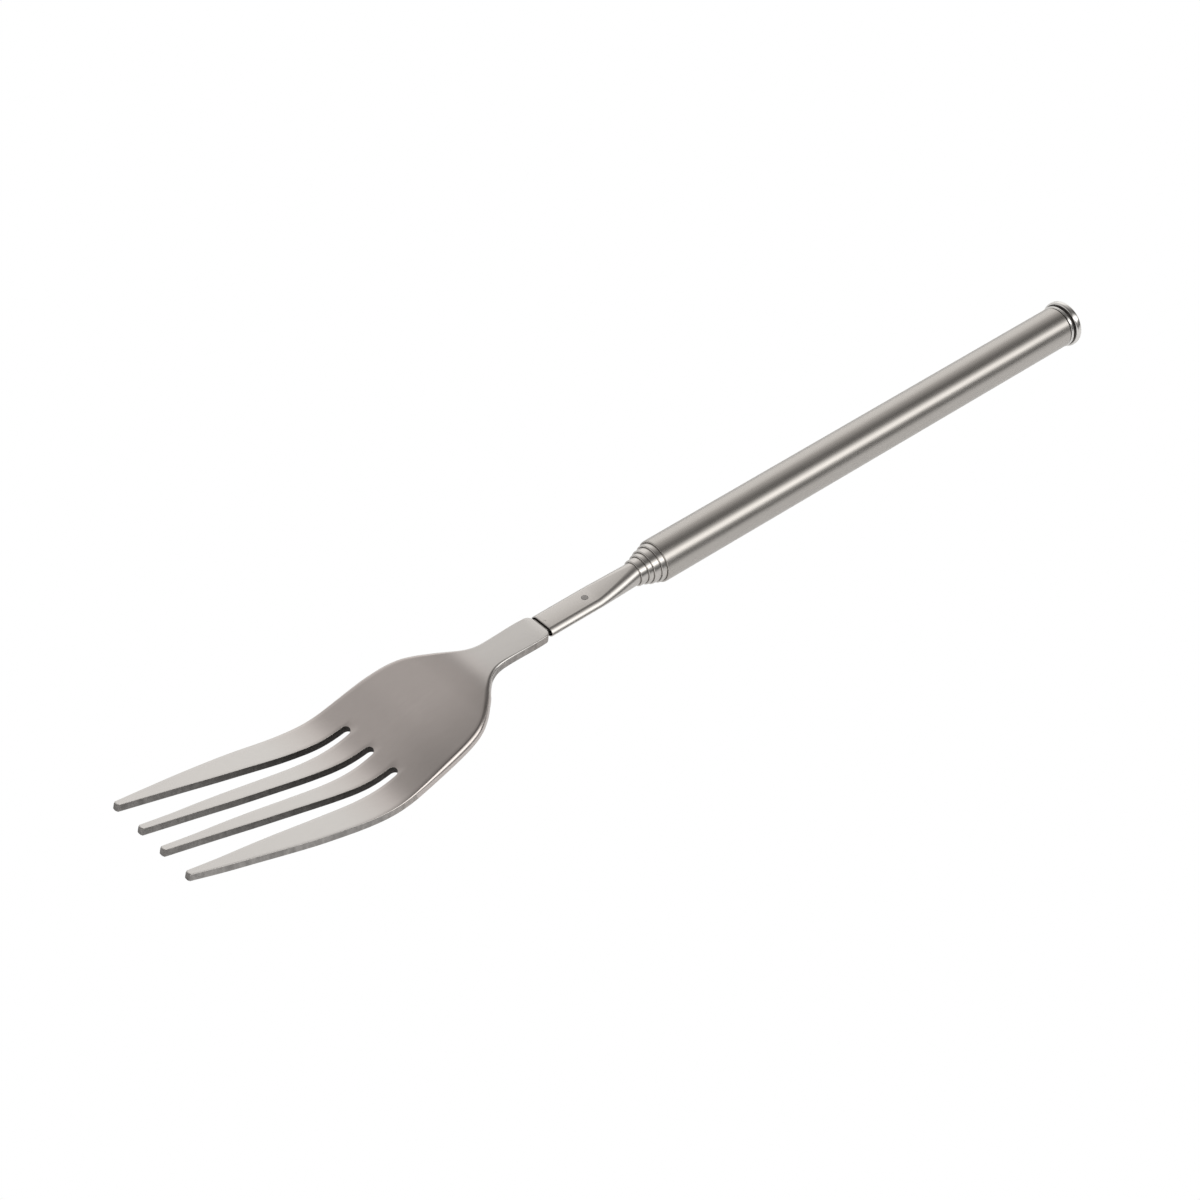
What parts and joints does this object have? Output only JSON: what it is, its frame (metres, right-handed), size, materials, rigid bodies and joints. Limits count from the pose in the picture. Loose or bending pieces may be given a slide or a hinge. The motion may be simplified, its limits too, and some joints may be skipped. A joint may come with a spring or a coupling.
{
  "type": "telescopic roasting fork",
  "caption": "Steel roasting fork whose flat four-tine head rides on a nested telescopic tube handle with a flanged end plug.",
  "frame": {"origin": "centre of the end plug's flat face, on the common axis of the tubes", "axes": "+X along the tubes towards the end plug, tines towards -X; +Z out of the fork's hollow upper face; +Y across the tines"},
  "size_m": [0.2224, 0.0268, 0.0123],
  "materials": {
    "brushed_steel": "brushed along the tube, lips polished by the swaging",
    "satin_steel": "satin pressed sheet",
    "polished_steel": "turned and polished",
    "brass": "turned, dull",
    "spring_bronze": "rolled strip"
  },
  "bodies": {
    "handle": {"handle_tube": "brushed_steel", "end_plug": "polished_steel"},
    "spring_1": {"leaf_upper_1": "spring_bronze", "leaf_lower_1": "spring_bronze"},
    "section_2": {"guide_bush_1": "brass", "tube_2": "brushed_steel"},
    "spring_2": {"leaf_upper_2": "spring_bronze", "leaf_lower_2": "spring_bronze"},
    "section_3": {"guide_bush_2": "brass", "tube_3": "brushed_steel"},
    "spring_3": {"leaf_upper_3": "spring_bronze", "leaf_lower_3": "spring_bronze"},
    "section_4": {"guide_bush_3": "brass", "tube_4": "brushed_steel"},
    "spring_4": {"leaf_upper_4": "spring_bronze", "leaf_lower_4": "spring_bronze"},
    "section_5": {"guide_bush_4": "brass", "tube_5": "brushed_steel"},
    "spring_5": {"leaf_upper_5": "spring_bronze", "leaf_lower_5": "spring_bronze"},
    "fork": {"guide_bush_5": "brass", "stem_tube": "brushed_steel", "fork_head": "satin_steel", "tang_pin": "satin_steel"}
  },
  "joints": [
    {"name": "slide_1", "type": "slide", "parent": "handle", "child": "spring_1", "axis": [-1, 0, 0], "range_m": [0, 0.08]},
    {"name": "swivel_1", "type": "hinge", "parent": "spring_1", "child": "section_2", "pos_m": [-0.0183, 0, 0], "axis": [1, 0, 0], "continuous": true},
    {"name": "slide_2", "type": "slide", "parent": "section_2", "child": "spring_2", "axis": [-1, 0, 0], "range_m": [0, 0.081]},
    {"name": "swivel_2", "type": "hinge", "parent": "spring_2", "child": "section_3", "pos_m": [-0.0183, 0, 0], "axis": [1, 0, 0], "continuous": true},
    {"name": "slide_3", "type": "slide", "parent": "section_3", "child": "spring_3", "axis": [-1, 0, 0], "range_m": [0, 0.0825]},
    {"name": "swivel_3", "type": "hinge", "parent": "spring_3", "child": "section_4", "pos_m": [-0.0183, 0, 0], "axis": [1, 0, 0], "continuous": true},
    {"name": "slide_4", "type": "slide", "parent": "section_4", "child": "spring_4", "axis": [-1, 0, 0], "range_m": [0, 0.0835]},
    {"name": "swivel_4", "type": "hinge", "parent": "spring_4", "child": "section_5", "pos_m": [-0.0183, 0, 0], "axis": [1, 0, 0], "continuous": true},
    {"name": "slide_5", "type": "slide", "parent": "section_5", "child": "spring_5", "axis": [-1, 0, 0], "range_m": [0, 0.085]},
    {"name": "swivel_5", "type": "hinge", "parent": "spring_5", "child": "fork", "pos_m": [-0.0183, 0, 0], "axis": [1, 0, 0], "continuous": true}
  ]
}
